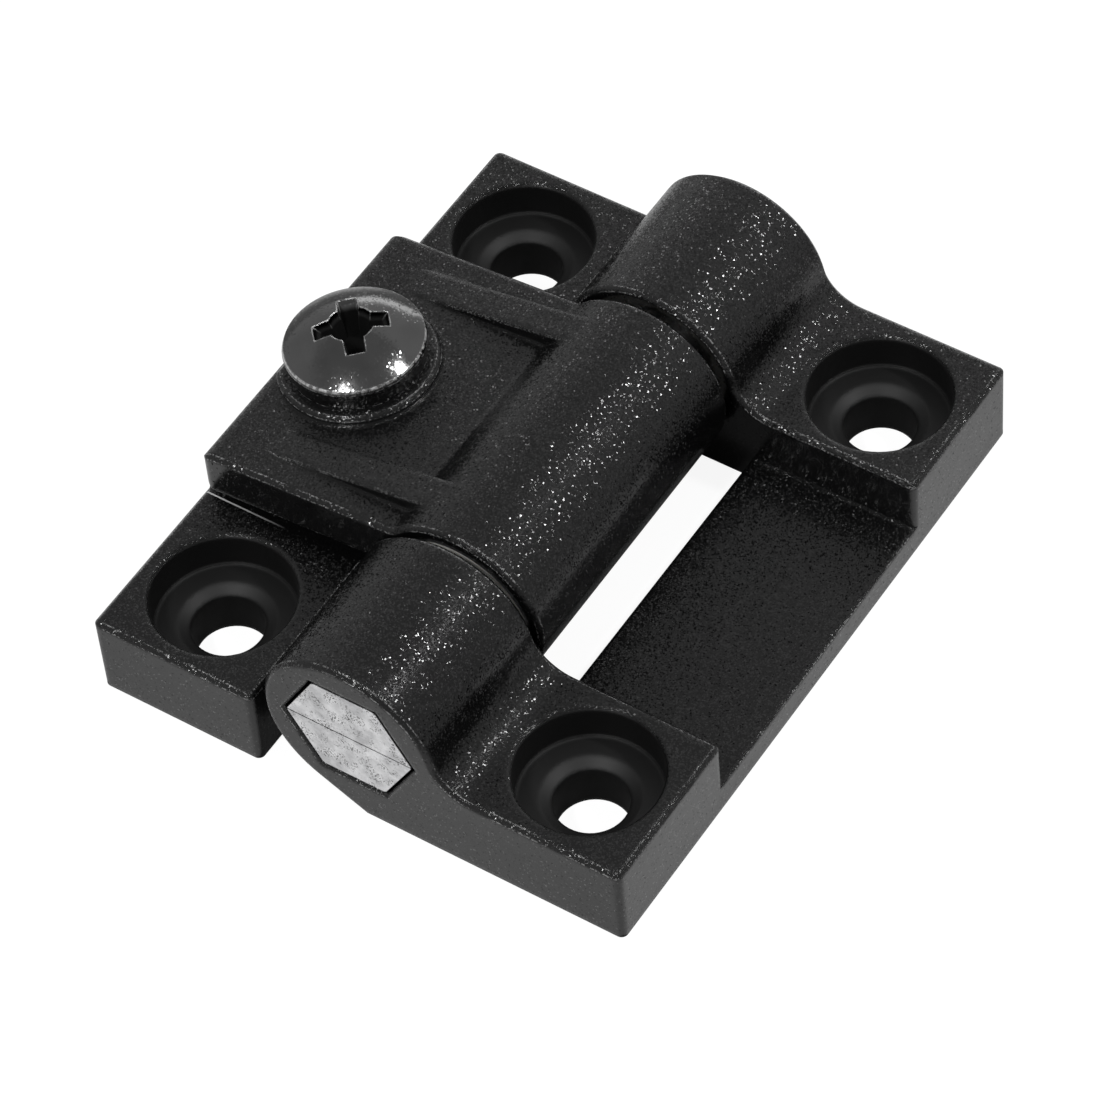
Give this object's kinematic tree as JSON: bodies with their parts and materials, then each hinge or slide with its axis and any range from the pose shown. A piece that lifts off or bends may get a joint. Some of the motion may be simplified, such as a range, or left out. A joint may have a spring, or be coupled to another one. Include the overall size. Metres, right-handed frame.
{
  "type": "detent hinge",
  "caption": "Surface-mount detent hinge whose centre leaf turns on a split hexagonal shaft in a grooved sleeve, with a clamp tongue and an adjusting screw.",
  "frame": {"origin": "on the mounting plane, straight under the middle of the hinge axis", "axes": "+X from the hinge axis to the outer leaf, +Y along the hinge axis, +Z away from the mounting plane"},
  "size_m": [0.043, 0.0512, 0.0157],
  "materials": {
    "leaf_coat": "satin black powder coat with a fine grain",
    "shaft_steel": "bright sawn steel",
    "spring_steel": "tempered spring strip",
    "sleeve_plastic": "natural acetal",
    "screw_black": "blackened steel, smooth",
    "nut_zinc": "zinc plated"
  },
  "bodies": {
    "outer_leaf_body": {"outer_leaf": "leaf_coat", "shaft_upper_half": "shaft_steel", "shaft_lower_half": "shaft_steel", "spread_spring_front": "spring_steel", "spread_spring_back": "spring_steel"},
    "centre_leaf_body": {"centre_leaf": "leaf_coat", "detent_sleeve": "sleeve_plastic", "square_nut": "nut_zinc"},
    "screw_body": {"adjusting_screw": "screw_black"}
  },
  "joints": [
    {"name": "leaf_fold", "type": "hinge", "parent": "outer_leaf_body", "child": "centre_leaf_body", "pos_m": [0, 0, 0.00785], "axis": [0, 1, 0], "range_deg": [-90, 170], "deforming": ["detent_sleeve"]},
    {"name": "screw_turn", "type": "hinge", "parent": "centre_leaf_body", "child": "screw_body", "pos_m": [-0.01595, 0, 0.01143], "axis": [-0.0785, 0, 0.9969], "range_deg": [-180, 360]}
  ]
}
